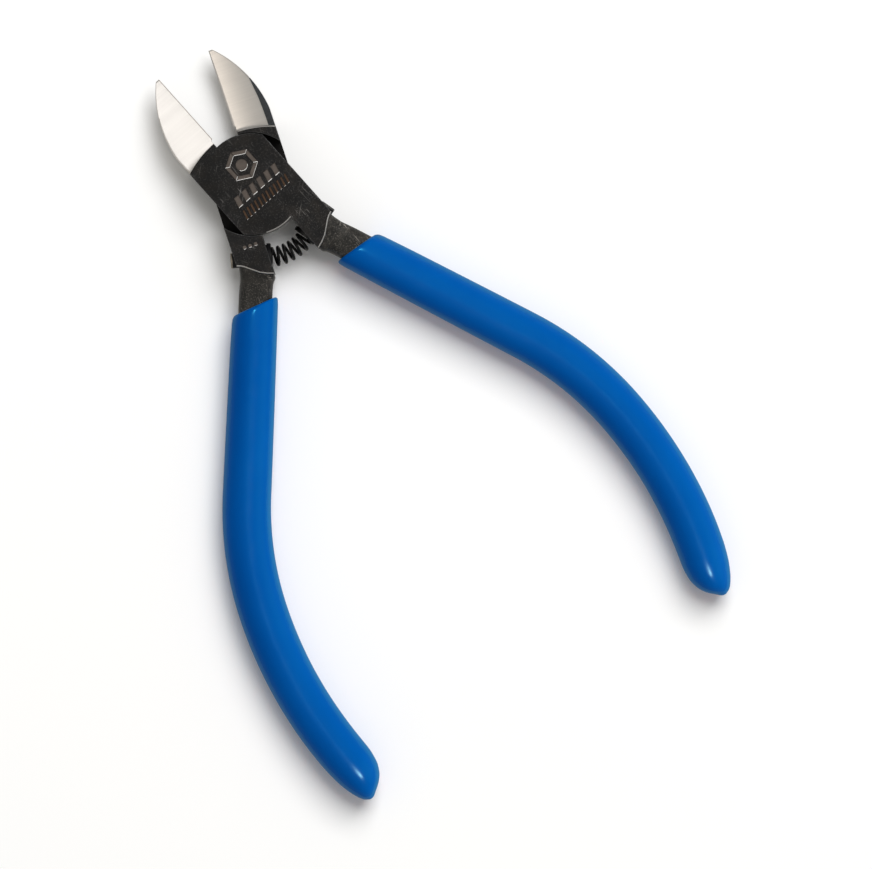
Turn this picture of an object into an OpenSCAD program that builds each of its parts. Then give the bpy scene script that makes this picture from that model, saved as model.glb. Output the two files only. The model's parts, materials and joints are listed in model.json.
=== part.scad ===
// Diagonal cutting pliers with a lap joint, a return spring and dipped grips.
// X runs across the tool, Y from the handles towards the blade tips, and Z up out of the marked face.
// The origin is on the pivot's axis, at the flat back of the head. Each lever is drawn closed, with its
// cutting edge on the YZ plane, and is then turned open about the pivot.

/* [Opening] */
// Angle that each lever is turned open from the closed tool, in degrees
open_angle = 11.75; // [9:0.25:12]

/* [Head] */
// Width of the head across the joint
head_w = 13.3; // [12.8:0.1:13.8]
// Thickness of the head, both lap plates together
head_t = 8; // [7:0.25:9]
// Radius of the round ends of the lap plates
lap_r = 8.2; // [7.9:0.1:8.4]

/* [Blades] */
// Distance from the pivot to the blade tips
tip_y = 23; // [22:0.25:24]
// Radius of the outer curve of a blade
blade_r = 20; // [19:0.5:21]
// Width of the small bevel along each cutting edge
edge_bevel = 0.5; // [0.3:0.1:0.8]
// Radius of the hollow grinding across a blade's face
hollow_r = 16.6; // [15:0.2:18]

/* [Arms and tangs] */
// Distance from the middle of the closed tool to an arm's inner flank
flank_x = 1.05; // [0.9:0.05:1.3]
// Width of a tang
tang_w = 5.5; // [5:0.1:5.8]
// Thickness of a tang
tang_t = 6.4; // [5.6:0.1:6.6]
// Angle that a handle leans out from the closed tool's middle, in degrees
lean = 20.75; // [19:0.25:22]
// Radius of the bend above the palm swell
bend_r = 54; // [50:1:58]
// Radius of the bend below the palm swell
palm_r = 70; // [66:1:76]
// Angle of the bend below the palm swell, in degrees
palm_angle = 25.6; // [23:0.2:26]

/* [Grips] */
// Width of a grip
grip_w = 7.8; // [7.5:0.1:8.2]
// Thickness of a grip
grip_t = 8.6; // [8.2:0.1:9]
// Radius of a grip's long edges
grip_edge_r = 2.8; // [2.2:0.1:3.2]

/* [Pivot] */
// Diameter of the rivet's shank
rivet_d = 5; // [4.5:0.1:5.4]
// Diameter of the rivet's countersunk head
rivet_head_d = 7.4; // [7:0.1:8]

/* [Spring] */
// Distance from the pivot to the spring's centre line
spring_path_r = 12.25; // [12:0.05:12.5]
// Outer diameter of the spring
spring_d = 3.4; // [3.2:0.1:3.5]
// Diameter of the spring's wire
wire_d = 0.5; // [0.4:0.05:0.55]
// Distance from one turn of the spring to the next
spring_pitch = 1.15; // [1.05:0.05:1.3]
// Inner diameter of a spring seat's cup
cup_d = 3.8; // [3.7:0.1:3.9]
// Depth of a spring seat's cup
cup_depth = 3.1; // [2.8:0.1:3.3]

/* [Hidden] */
$fn = 96;

// Clearances
lap_gap = 0.06;          // between the two lap plates
shoulder_gap = 0.1;      // between a lap plate's round end and the shoulder it turns against
edge_gap = 0.02;         // from the middle of the closed tool to each cutting edge
running_gap = 0.03;      // round the rivet's shank, in the lever that turns on it
press_gap = 0.01;        // round the parts that are pressed home
grip_gap = 0.05;         // between a tang and its grip

mid_z = head_t / 2;
half_w = head_w / 2;
far = 200;

// Blade
blade_arc = [blade_r - half_w - 0.15, 8.6];    // centre of the outer curve
relief_depth = 0.35;     // step behind the heel of the cutting edge
relief_y = 9.7;
bevel_slope = 42;        // slope of the small bevel
grind_arc = [-0.4, -9.05];
grind_arc_r = 18;        // the ground face ends on this circle, towards the joint
hollow_start = [edge_bevel, mid_z + edge_bevel * tan(bevel_slope)];
hollow_slope = 15;       // slope of the hollow grinding where it meets the edge bevel
hollow_axis = hollow_start + hollow_r * [-sin(hollow_slope), cos(hollow_slope)];

// Arm and tang
arm_end_y = -15.1;       // end of the arm's flat face at its inner flank
arm_back_y = -12;        // end of the arm's flat face at its outer side
tang_edge_r = 2;
neck_start = [3.04, -12];
neck_drop = 36.4;        // how far the straight stretch of the handle runs down
neck_length = neck_drop / cos(lean);
bend_start = neck_start + [neck_drop * tan(lean), -neck_drop];
bend_axis = bend_start - bend_r * [cos(lean), sin(lean)];
palm_axis = bend_axis + [bend_r - palm_r, 0];
tang_short = 4;          // angle in degrees by which the tang stops short of its grip
hair = 0.02;
overlap = 0.5;           // angle in degrees by which one stretch of a handle enters the next

// Grip
grip_top = [2.15, -18.95];
grip_top_slant = -6.3;

// Spring seats
seat_y = -12.2;
seat_tilt = 8;           // each seat points along the spring's arc
seat_d = 4.2;
flange_d = 4.7;
flange_t = 0.7;
flange_sunk = 0.35;      // the flange is let into the flank, which the seat meets at a slant
cup_floor = 0.5;
tail_d = 2.5;
tail_out = [0.4, 0.7];   // how far the tail of the right and the left seat stands out of its arm
tail_end = (half_w - flank_x) / cos(seat_tilt);

// Spring
mouth_angle = atan(flank_x / -seat_y) + open_angle;
arc_length = 2 * spring_path_r * mouth_angle * PI / 180;
end_length = cup_depth - 0.2;
coil_length = arc_length + 2 * end_length;
coil_r = (spring_d - wire_d) / 2;
turns = coil_length / spring_pitch;
steps_per_turn = 14;
wire_sides = 6;

// Point on the spring's centre line and the direction across it, a distance s from its middle.
// The line is an arc about the pivot between the flanks, and straight inside each cup.
function arc_part(s) = max(-arc_length / 2, min(arc_length / 2, s)) / spring_path_r * 180 / PI;
function spring_across(s) =
    let (a = arc_part(s), t = abs(s) > arc_length / 2 ? sign(s) * (seat_tilt + open_angle) : a)
    [sin(t), -cos(t)];
function spring_centre(s) =
    let (a = arc_part(s), over = sign(s) * max(0, abs(s) - arc_length / 2),
         t = sign(s) * (seat_tilt + open_angle))
    spring_path_r * [sin(a), -cos(a)] + over * [cos(t), sin(t)];
function wire_centre(s) =
    let (turn = 360 * s / spring_pitch, across = coil_r * cos(turn) * spring_across(s),
         p = spring_centre(s) + across)
    [p[0], p[1], mid_z + coil_r * sin(turn)];
function unit(v) = v / norm(v);

// Bar section with rounded edges
module rounded_bar(w, t, r) {
    square([w - 2 * r, t], center = true);
    square([w, t - 2 * r], center = true);
    for (sx = [-1, 1], sy = [-1, 1])
        translate([sx * (w / 2 - r), sy * (t / 2 - r)]) circle(r = r);
}

// Bar swept along the right handle: straight from the neck, then round two bends, with a round end.
// Each stretch is a hair slimmer than the one before and starts inside it, so that they join cleanly.
module handle_bar(w, t, r, angle) {
    module section(n) { rounded_bar(w - 2 * n * hair, t - 2 * n * hair, r - n * hair); }
    translate([bend_start[0], bend_start[1], mid_z])
        rotate([0, 0, lean]) rotate([-90, 0, 0]) linear_extrude(neck_length) section(0);
    translate([bend_axis[0], bend_axis[1], mid_z])
        rotate_extrude(angle = lean + overlap) translate([bend_r, 0]) section(1);
    translate([palm_axis[0], palm_axis[1], mid_z]) rotate([0, 0, -angle]) {
        rotate_extrude(angle = angle + overlap) translate([palm_r, 0]) section(2);
        translate([palm_r, 0]) rotate_extrude() intersection() {
            section(3);
            translate([0, -t]) square([w, 2 * t]);
        }
    }
}

// Lap plate: the part of the head that crosses the joint, as thick as half the head
module lap_plate() {
    translate([0, 0, mid_z + lap_gap / 2])
        linear_extrude(mid_z - lap_gap / 2)
        intersection() {
            circle(r = lap_r);
            square([head_w, 3 * lap_r], center = true);
        }
}

// What the grinding wheel takes off one face of the blade, down to the hollow face and the edge bevel
module ground_face() {
    intersection() {
        translate([-hollow_axis[0], 0, hollow_axis[1]])
            rotate([-90, 0, 0]) cylinder(h = tip_y + 5, r = hollow_r);
        difference() {
            translate([-half_w - 1, 0, mid_z]) cube([half_w + 2, tip_y + 5, mid_z + 1]);
            translate([grind_arc[0], grind_arc[1], 0]) cylinder(h = head_t + 2, r = grind_arc_r);
        }
    }
    translate([-edge_gap, relief_y - 1, mid_z]) rotate([0, bevel_slope, 0])
        translate([-3, 0, 0]) cube([5, tip_y, 2]);
}

// Blade, on the left of the closed tool
module blade() {
    difference() {
        linear_extrude(head_t) intersection() {
            translate([-half_w, 0]) square([half_w - edge_gap, tip_y]);
            translate(blade_arc) circle(r = blade_r);
        }
        ground_face();
        translate([0, 0, head_t]) mirror([0, 0, 1]) ground_face();
        translate([-relief_depth, 0, -1]) cube([1, relief_y, head_t + 2]);
        translate([0, 0, -1]) cylinder(h = mid_z + lap_gap / 2 + 1, r = lap_r + shoulder_gap);
    }
}

// Arm, on the right of the closed tool, with its flat faces at the head's full thickness
module arm() {
    difference() {
        linear_extrude(head_t) polygon([
            [flank_x, -4], [flank_x, arm_end_y], [flank_x + 2.3, arm_end_y + 0.9],
            [half_w - 1.1, arm_back_y - 0.5], [half_w, arm_back_y], [half_w, -4]]);
        translate([0, 0, -1]) cylinder(h = mid_z + lap_gap / 2 + 1, r = lap_r + shoulder_gap);
    }
}

// Tang: the rounded bar inside the grip, trimmed level with the arm's inner flank
module tang() {
    intersection() {
        handle_bar(tang_w, tang_t, tang_edge_r, palm_angle - tang_short);
        translate([flank_x, -far, 0]) cube([far, far + arm_back_y, head_t]);
    }
}

// Placement of the right seat: local Z runs outwards through the arm from the inner flank
module at_seat() {
    translate([flank_x, seat_y, mid_z]) rotate([0, 0, seat_tilt]) rotate([0, 90, 0]) children();
}

// Room for the spring seat in the arm
module seat_bore() {
    at_seat() {
        translate([0, 0, -2]) cylinder(h = 2 + flange_sunk, d = flange_d + 2 * press_gap);
        cylinder(h = cup_depth + cup_floor, d = seat_d + 2 * press_gap);
        cylinder(h = tail_end + 3, d = tail_d + 2 * press_gap);
    }
}

// Whole lever, closed, with its lap plate on top
module lever() {
    difference() {
        union() {
            lap_plate();
            blade();
            arm();
            tang();
        }
        seat_bore();
    }
}

// Shank and countersink of the rivet: grown by a gap, this is also its hole.
// The head lies in the lower lever's back, and the other end is peened over in the upper plate.
module rivet_shape(gap) {
    head_h = (rivet_head_d - rivet_d) / 2;
    peen = 0.5;
    translate([0, 0, -gap]) cylinder(h = head_t + 2 * gap, d = rivet_d + 2 * gap);
    cylinder(h = head_h + gap, d1 = rivet_head_d + 2 * gap, d2 = rivet_d);
    translate([0, 0, head_t - peen]) cylinder(h = peen, d1 = rivet_d, d2 = rivet_d + 2 * peen);
}

// Turns a part of the upper lever open, or makes it a part of the lower lever, which is the same
// forging turned over about the Y axis
module opened(upper) {
    if (upper) rotate([0, 0, open_angle]) children();
    else rotate([0, 0, -open_angle]) translate([0, 0, head_t]) rotate([0, 180, 0]) children();
}

module spring_seat(tail) {
    at_seat() difference() {
        union() {
            translate([0, 0, flange_sunk - flange_t]) cylinder(h = flange_t, d = flange_d);
            cylinder(h = cup_depth + cup_floor, d = seat_d);
            cylinder(h = tail_end + tail, d = tail_d);
        }
        translate([0, 0, -1]) cylinder(h = 1 + cup_depth, d = cup_d);
    }
}

module grip() {
    difference() {
        handle_bar(grip_w, grip_t, grip_edge_r, palm_angle);
        handle_bar(tang_w + 2 * grip_gap, tang_t + 2 * grip_gap, tang_edge_r + grip_gap,
                   palm_angle - tang_short);
        translate([grip_top[0], grip_top[1], -far / 2]) rotate([0, 0, grip_top_slant])
            translate([-far / 2, 0, 0]) cube([far, far, far]);
    }
}

module upper_lever() {
    color("dimgray") difference() {
        opened(true) lever();
        rivet_shape(press_gap);
    }
}

module lower_lever() {
    color("dimgray") difference() {
        opened(false) lever();
        rivet_shape(running_gap);
    }
}

module pivot_rivet() {
    color("gray") rivet_shape(0);
}

module left_spring_seat() {
    color("darkgray") opened(false) spring_seat(tail_out[1]);
}

module right_spring_seat() {
    color("darkgray") opened(true) spring_seat(tail_out[0]);
}

module left_grip() {
    color("royalblue") opened(false) grip();
}

module right_grip() {
    color("royalblue") opened(true) grip();
}

// Helix of round wire about the spring's centre line
module return_spring() {
    count = floor(turns * steps_per_turn);
    step = coil_length / count;
    function frame_at(i) =
        let (s = -coil_length / 2 + i * step, c = wire_centre(s),
             along = unit(wire_centre(s + 0.01) - wire_centre(s - 0.01)),
             axis_point = spring_centre(s),
             out = unit(c - [axis_point[0], axis_point[1], mid_z]),
             side = unit(cross(along, out)))
        [c, out, side];
    rings = [for (i = [0:count]) frame_at(i)];
    points = [for (f = rings, k = [0:wire_sides - 1])
        f[0] + wire_d / 2 * (cos(360 * k / wire_sides) * f[1] + sin(360 * k / wire_sides) * f[2])];
    walls = [for (i = [0:count - 1], k = [0:wire_sides - 1])
        let (a = i * wire_sides + k, b = i * wire_sides + (k + 1) % wire_sides)
        [a, a + wire_sides, b + wire_sides, b]];
    start = [for (k = [0:wire_sides - 1]) k];
    end = [for (k = [wire_sides - 1:-1:0]) count * wire_sides + k];
    color("black") polyhedron(points, concat([start], walls, [end]), convexity = 10);
}

upper_lever();
lower_lever();
pivot_rivet();
return_spring();
left_spring_seat();
right_spring_seat();
left_grip();
right_grip();
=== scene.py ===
"""Diagonal cutting pliers with a lap joint, a return spring and dipped grips, seen from straight above.

Each lever is shaped closed, in millimetres, with its cutting edge on the YZ plane, its blade on the left
and its handle on the right. The lower lever is the same forging turned over about the Y axis.
"""
import json
import math

import bmesh
import bpy
import numpy as np
from mathutils import Matrix, Vector


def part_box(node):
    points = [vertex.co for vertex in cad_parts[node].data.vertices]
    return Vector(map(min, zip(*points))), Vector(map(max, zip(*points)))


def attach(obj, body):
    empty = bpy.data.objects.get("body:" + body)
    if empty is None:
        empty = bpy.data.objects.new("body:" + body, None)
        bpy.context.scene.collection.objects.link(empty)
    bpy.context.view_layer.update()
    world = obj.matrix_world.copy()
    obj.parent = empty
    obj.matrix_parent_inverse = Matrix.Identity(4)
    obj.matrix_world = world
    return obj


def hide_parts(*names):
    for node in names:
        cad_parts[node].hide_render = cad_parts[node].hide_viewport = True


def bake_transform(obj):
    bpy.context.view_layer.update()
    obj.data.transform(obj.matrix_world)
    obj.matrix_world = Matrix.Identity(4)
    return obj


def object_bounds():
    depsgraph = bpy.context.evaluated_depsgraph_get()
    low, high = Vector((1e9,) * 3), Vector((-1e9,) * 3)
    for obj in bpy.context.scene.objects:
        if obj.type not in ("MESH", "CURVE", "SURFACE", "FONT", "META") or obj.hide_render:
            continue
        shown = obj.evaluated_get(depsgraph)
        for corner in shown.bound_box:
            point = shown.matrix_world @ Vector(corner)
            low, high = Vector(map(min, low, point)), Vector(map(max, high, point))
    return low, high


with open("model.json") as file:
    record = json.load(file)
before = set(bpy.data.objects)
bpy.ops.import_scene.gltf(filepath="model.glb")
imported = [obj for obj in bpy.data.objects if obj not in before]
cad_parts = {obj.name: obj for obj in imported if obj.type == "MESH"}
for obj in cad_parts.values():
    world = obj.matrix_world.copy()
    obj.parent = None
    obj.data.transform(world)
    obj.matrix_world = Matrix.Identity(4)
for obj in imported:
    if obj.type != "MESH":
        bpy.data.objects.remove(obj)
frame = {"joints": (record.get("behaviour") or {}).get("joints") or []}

cad_low, cad_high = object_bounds()

MM = 0.001
scene = bpy.context.scene
joint = frame["joints"][0]
OPEN_ANGLE = math.radians(joint["range_deg"][1] / 2)

# Head
HEAD_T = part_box("pivot_rivet")[1].z / MM
MID_Z = HEAD_T / 2
HALF_W = 6.65                  # half width of the head
LAP_R = 8.2                    # round end of the plate on the blades' side
LAP_R_ARM = 8.55               # round end of the plate on the arms' side
LAP_Z = MID_Z + 0.03           # inner face of the lap plate
SHOULDER_GAP = 0.1             # from a plate's round end to the other lever's shoulder
EDGE_ROUND = 0.13
WORN_ROUND = 0.21
WORN_LAP_ROUND = 0.17
WORN_GRIND_ROUND = 0.26
GRIND_ROUND = 0.1
WORN_FROM = 245                # degrees round the lap where its worn rim starts
FLANK_X = 1.05                 # inner flank of the arm
SIDE_FOOT_Y = -12.25           # lower end of the arm's outer side
ARM_END = [                    # the arm's end, from the flank to the outer side
    (FLANK_X, -15.35), (2.2, -15.0), (3.35, -14.45), (4.4, -13.65), (5.55, -12.75), (6.1, -12.45),
]

# Blade
TIP_Y = 23.0
BLADE_ARC = (13.2, 8.6)        # centre of the outer curve, across the middle from the blade
BLADE_R = 20.0
GRIND_ARC = (-0.4, -9.05)      # centre of the curve where the ground face ends
GRIND_R = 18.0
RELIEF_X = 0.35                # half the gap between the closed blades, up to RELIEF_Y
RELIEF_Y = 9.7                 # where the cutting edge starts
EDGE_X = 0.02                  # from the middle to the cutting edge, closed
BEVEL_X = 0.15                 # where the micro bevel ends
BEVEL_SLOPE = math.radians(42)
HOLLOW_SLOPE = (math.radians(16), math.radians(25))    # at the bevel and at HOLLOW_X
HOLLOW_X = 5.5
FACET_SLOPE = math.radians(57)
FACET_ROWS = (10, 13, 17)      # distances from the pivot, and the facet's inner edge there
FACET_EDGE = (5.6, 5.45, 4.95)
FILLET = (0.14, 0.35)          # on the plate's side, on the lap's side
FILLET_ROWS = (-0.6, -0.3, 0.0, 0.04, 0.1, 0.18, 0.27, 0.36)     # from the end of the ground face
BLADE_ROWS = 44
FACE_COLUMNS = 26
FACET_COLUMNS = 6
BLEND_Y = 11.0                 # from here on the rows across the blade are straight
EMBED = 0.04                   # the part inside the head is this much narrower
TIP_ROUND = {TIP_Y: 0.1, TIP_Y - 0.02: 0.04}
RIM_DROP = (0.03, 0.1)         # the blade's outer edge is broken over this width and height

# Handle
LEAN = math.radians(20.75)
NECK_START = (3.04, -12.0)     # start of the handle's centre line
STRAIGHT = 36.4 / math.cos(LEAN)
BEND_R = 54.0                  # the bend above the palm swell, through LEAN
PALM_R = 70.0                  # the bend below it, through PALM_ANGLE
PALM_ANGLE = math.radians(25.6)
TANG_END = 84.9
TANG_HALF = (2.75, 3.2)        # half width, half thickness
TANG_POWER = 3.3

# Grip
GRIP_HALF_T = 4.3
GRIP_POWER = 2.5               # of the section's superellipse
NOSE_POWER = 2.15
GRIP_POINTS = 96
RIM_AT = 7.86                  # where the grip starts
RIM_SHEAR = 0.51               # its slant there, which fades out over SHEAR_RUN
RIM_THINNER = 0.1              # off the half thickness at the rim, over RIM_TAPER
RIM_TAPER = 4
SHEAR_RUN = 9.0
ROOF_SLOPE = 0.11              # of the faint ridge along the top
ROOF_SOFT = 0.2                # half width of its rounding
BORE_GAP = 0.05                # round the tang
MOUTH_GAP = 0.12               # round the tang at the rim

# Spring and its seats
SEAT_Y = -12.45
SEAT_TILT = math.radians(13)
SPRING_D = 3.4
WIRE_D = 0.5
WIRE_SIDES = 12
PITCH = 1.15
PITCH_STEPS = 32               # rings of points in one turn
SPRING_PHASE = 160             # degrees, so that the coils cross where the photo's do
CUP_D = 3.8
CUP_DEPTH = 3.1
FLANGE_R = 2.35
FLANGE_T = 0.35
SEAT_R = 2.1
SEAT_STEP = 3.6                # depth where the body steps down to the tail
TAIL_R = 1.25
BORE_SPARE = 0.01

# Rivet
SHANK_R = 2.5
RIVET_HEAD_R = 3.7
RIVET_HEAD_T = 1.2
SHANK_GAP = (0.01, 0.03)       # in the upper and in the lower lever
SHANK_TOP = HEAD_T - 0.5       # the shank's hole stops below the marked face

# Marks
MARK_DEPTH = 0.1
DOT_DEPTH = 0.06
HEXAGON = (0.75, 3.3)
HEXAGON_R = (1.95, 2.75)       # inside and outside of the ring
HEXAGON_DOT_R = 1.0

PLACE = "place_in_lever"
UPPER = Matrix.Rotation(OPEN_ANGLE, 4, "Z")
TURNED = Matrix.Translation((0, 0, HEAD_T * MM)) @ Matrix.Rotation(math.pi, 4, "Y")
LOWER = Matrix.Rotation(-OPEN_ANGLE, 4, "Z") @ TURNED


# ---------------------------------------------------------------- materials

def add(tree, kind, inputs=None, **settings):
    """A new node with its settings, and its inputs linked to a socket or set to a value."""
    made = tree.nodes.new(kind)
    for key, value in settings.items():
        setattr(made, key, value)
    for key, value in (inputs or {}).items():
        if isinstance(value, bpy.types.NodeSocket):
            tree.links.new(value, made.inputs[key])
        else:
            made.inputs[key].default_value = value
    return made


def material(name, **fixed):
    """A new node material and its tree, shader and the places of its surface in the closed lever."""
    made = bpy.data.materials.new(name)
    made.use_nodes = True
    tree = made.node_tree
    shader = tree.nodes["Principled BSDF"]
    for key, value in fixed.items():
        shader.inputs[key.replace("_", " ")].default_value = value
    where = add(tree, "ShaderNodeAttribute", attribute_name=PLACE)
    return made, tree, shader, where.outputs["Vector"]


def stretched(tree, where, scale):
    return add(tree, "ShaderNodeMapping", {"Vector": where, "Scale": scale}).outputs["Vector"]


def noise(tree, where, scale, detail=4.0, roughness=0.55):
    return add(tree, "ShaderNodeTexNoise", {
        "Vector": where, "Scale": scale, "Detail": detail, "Roughness": roughness}).outputs["Fac"]


def ramp(tree, fac, stops):
    """Colour ramp through (position, value or colour) stops."""
    made = add(tree, "ShaderNodeValToRGB", {"Fac": fac})
    elements = made.color_ramp.elements
    while len(elements) < len(stops):
        elements.new(0.5)
    for element, (position, colour) in zip(elements, stops):
        element.position = position
        element.color = (*colour, 1.0) if isinstance(colour, tuple) else (colour, colour, colour, 1.0)
    return made.outputs["Color"]


def mixed(tree, fac, a, b, blend="MIX"):
    """Colour a mixed with colour b."""
    made = add(tree, "ShaderNodeMix", data_type="RGBA", blend_type=blend)
    for index, value in ((0, fac), (6, a), (7, b)):
        if isinstance(value, bpy.types.NodeSocket):
            tree.links.new(value, made.inputs[index])
        elif index == 0:
            made.inputs[index].default_value = value
        else:
            made.inputs[index].default_value = (*value, 1.0)
    return made.outputs[2]


def scaled(colour, factor):
    return tuple(factor * c for c in colour)


def bump(tree, shader, height, strength, distance):
    made = add(tree, "ShaderNodeBump", {"Height": height, "Strength": strength, "Distance": distance})
    tree.links.new(made.outputs["Normal"], shader.inputs["Normal"])


def oxide_material(name, dark, brown, light, rough, specular=0.26):
    """Black oxide on forged steel: faint brown mottling, small pale specks and a few handling scratches."""
    made, tree, shader, where = material(name, Specular_IOR_Level=specular)
    cloud = noise(tree, where, 420, 5)
    base = mixed(tree, ramp(tree, cloud, [(0.45, 0.0), (0.72, 0.8)]), dark, brown)
    grain = noise(tree, where, 4600, 2)
    base = mixed(tree, ramp(tree, grain, [(0.54, 0.0), (0.74, 0.6)]), base, light)
    turned = add(tree, "ShaderNodeVectorRotate", {"Vector": where, "Angle": 0.9}, rotation_type="Z_AXIS")
    along = stretched(tree, where, (1.0, 0.06, 0.3))
    across = stretched(tree, turned.outputs["Vector"], (1.0, 0.04, 0.3))
    scratch = mixed(tree, 1.0, ramp(tree, noise(tree, along, 3600, 2), [(0.64, 0.0), (0.7, 1.0)]),
                    ramp(tree, noise(tree, across, 4200, 2), [(0.65, 0.0), (0.71, 1.0)]), "ADD")
    patches = ramp(tree, noise(tree, where, 260, 2), [(0.46, 0.0), (0.66, 0.8)])
    scratch = mixed(tree, 1.0, scratch, patches, "MULTIPLY")
    base = mixed(tree, scratch, base, scaled(light, 1.8))
    slow = ramp(tree, noise(tree, where, 130, 2), [(0.3, 0.55), (0.7, 1.45)])
    base = mixed(tree, 1.0, base, slow, "MULTIPLY")
    tree.links.new(base, shader.inputs["Base Color"])
    tree.links.new(ramp(tree, cloud, [(0.3, rough - 0.08), (0.7, rough + 0.1)]), shader.inputs["Roughness"])
    bump(tree, shader, mixed(tree, 0.5, grain, cloud), 0.3, 0.00005)
    return made


def ground_material(name, tone, lines, rough, metal=1.0):
    """Ground steel, with the wheel's lines running across the blade."""
    made, tree, shader, where = material(name, Metallic=metal)
    across = stretched(tree, where, (0.025, 1.0, 0.02))
    fine = noise(tree, across, 3200, 3, 0.6)
    broad = noise(tree, across, 900, 2, 0.5)
    both = mixed(tree, 0.35, fine, broad)
    base = mixed(tree, ramp(tree, both, [(0.35, 0.0), (0.65, 1.0)]), tone, scaled(tone, lines))
    tree.links.new(base, shader.inputs["Base Color"])
    finish = ramp(tree, broad, [(0.3, rough - 0.01), (0.7, rough + 0.02)])
    tree.links.new(finish, shader.inputs["Roughness"])
    bump(tree, shader, fine, 0.004, 0.000012)
    return made


def worn_material(name, tone, rough=0.32):
    """Bright steel where handling has worn the oxide off an edge."""
    made, tree, shader, where = material(name, Metallic=1.0)
    patch = noise(tree, where, 900, 4)
    base = mixed(tree, ramp(tree, patch, [(0.3, 0.0), (0.7, 1.0)]), scaled(tone, 0.72), tone)
    tree.links.new(base, shader.inputs["Base Color"])
    tree.links.new(ramp(tree, patch, [(0.3, rough), (0.7, rough + 0.15)]), shader.inputs["Roughness"])
    bump(tree, shader, noise(tree, where, 3000, 2), 0.2, 0.00003)
    return made


def grip_material():
    """Glossy dipped plastic: deep blue with slow ripples along it, slightly greener on its flanks, where
    the green is a painted reflection of the floor.
    """
    made, tree, shader, where = material(
        "grip_plastic", Roughness=0.2, IOR=1.2, Specular_Tint=(0.1, 0.75, 1.0, 1.0))
    slow = ramp(tree, noise(tree, where, 60, 2), [(0.35, 0.0), (0.65, 1.0)])
    base = mixed(tree, slow, (0.0, 0.077, 0.368), (0.0, 0.085, 0.388))
    normal = add(tree, "ShaderNodeTexCoord").outputs["Normal"]
    upright = add(tree, "ShaderNodeSeparateXYZ", {"Vector": normal}).outputs["Z"]
    upright = add(tree, "ShaderNodeMath", {0: upright}, operation="ABSOLUTE").outputs[0]
    # flank marks the steep sides: their greener base is a painted reflection of the floor, and they are
    # also made rougher
    flank = ramp(tree, upright, [(0.3, 1.0), (0.66, 0.0)])
    base = mixed(tree, flank, base, (0.0, 0.13, 0.37))
    tree.links.new(base, shader.inputs["Base Color"])
    gloss = ramp(tree, noise(tree, where, 500, 3), [(0.3, 0.19), (0.7, 0.26)])
    tree.links.new(mixed(tree, flank, gloss, (0.4, 0.4, 0.4)), shader.inputs["Roughness"])
    along = stretched(tree, where, (1.0, 0.12, 1.0))
    peel = mixed(tree, 0.35, noise(tree, along, 240, 2), noise(tree, where, 1500, 2))
    bump(tree, shader, peel, 0.06, 0.0001)
    return made


def dark_material(name, tone, rough, specular=0.4):
    """Blackened steel in the shade: the spring's wire, its seats and the inside of the joint, whose
    near-black is painted shade.
    """
    made, tree, shader, where = material(name, Specular_IOR_Level=specular)
    film = noise(tree, where, 900, 4)
    base = mixed(tree, ramp(tree, film, [(0.35, 0.0), (0.7, 1.0)]), tone, scaled(tone, 2.4))
    tree.links.new(base, shader.inputs["Base Color"])
    tree.links.new(ramp(tree, film, [(0.3, rough - 0.08), (0.7, rough + 0.1)]), shader.inputs["Roughness"])
    bump(tree, shader, noise(tree, where, 4000, 2), 0.25, 0.00002)
    return made


OXIDE = oxide_material(
    "black_oxide", (0.0038, 0.0039, 0.0044), (0.0135, 0.0115, 0.0098), (0.065, 0.062, 0.059), 0.5)
NECK_OXIDE = oxide_material(
    "neck_oxide", (0.009, 0.0087, 0.008), (0.038, 0.034, 0.0295), (0.13, 0.12, 0.107), 0.4, 0.28)
EDGE_OXIDE = oxide_material(
    "edge_oxide", (0.02, 0.02, 0.021), (0.035, 0.033, 0.031), (0.16, 0.16, 0.16), 0.5)
GROUND = ground_material("ground_steel", (0.84, 0.815, 0.785), 0.94, 0.3)
# dark bluish steel for the blade's steep facet: a painted reflection of the shaded floor beside the blade
DARK_STRIP = ground_material("facet_painted_dark_reflection", (0.12, 0.135, 0.155), 0.8, 0.34)
# the micro bevel is a darker copy of the ground steel: painted shade along the cutting edge
BEVEL = ground_material("micro_bevel", (0.64, 0.58, 0.53), 0.88, 0.3)
# pale, nearly matt steel for the marks' walls on one side only: a painted highlight
PAINTED_LIT_WALL = ground_material("mark_wall_painted_highlight", (0.94, 0.925, 0.91), 0.96, 0.4, 0.12)
WORN = worn_material("worn_edge", (0.66, 0.65, 0.64))
MARK = worn_material("mark_floor", (0.2, 0.175, 0.16), 0.42)
MARK_BROWN = worn_material("mark_floor_brown", (0.17, 0.11, 0.075), 0.45)
# near-black, flat steel for the lap recess, bores and holes: painted shade inside the joint
LAP_BLACK = dark_material("lap_black", (0.003, 0.0028, 0.0028), 0.6, 0.15)
SPRING_BLACK = dark_material("spring_black", (0.0012, 0.0012, 0.0014), 0.34, 0.22)
TAIL_DARK = oxide_material("tail_dark", (0.05, 0.05, 0.05), (0.07, 0.066, 0.062), (0.16, 0.16, 0.16), 0.4)
TAIL_END = worn_material("tail_end", (0.42, 0.38, 0.32), 0.4)
SEAT_BLACK = dark_material("seat_black", (0.003, 0.003, 0.0034), 0.45, 0.3)
GRIP = grip_material()
LEVER_SLOTS = [
    OXIDE, GROUND, DARK_STRIP, WORN, NECK_OXIDE, EDGE_OXIDE, LAP_BLACK, MARK, MARK_BROWN, PAINTED_LIT_WALL, BEVEL]
S_OXIDE, S_GROUND, S_STRIP, S_WORN, S_NECK, S_EDGE, S_LAP, S_MARK, S_BROWN, S_PAINTED_LIT, S_BEVEL = range(11)


# ---------------------------------------------------------------- mesh tools

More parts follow.
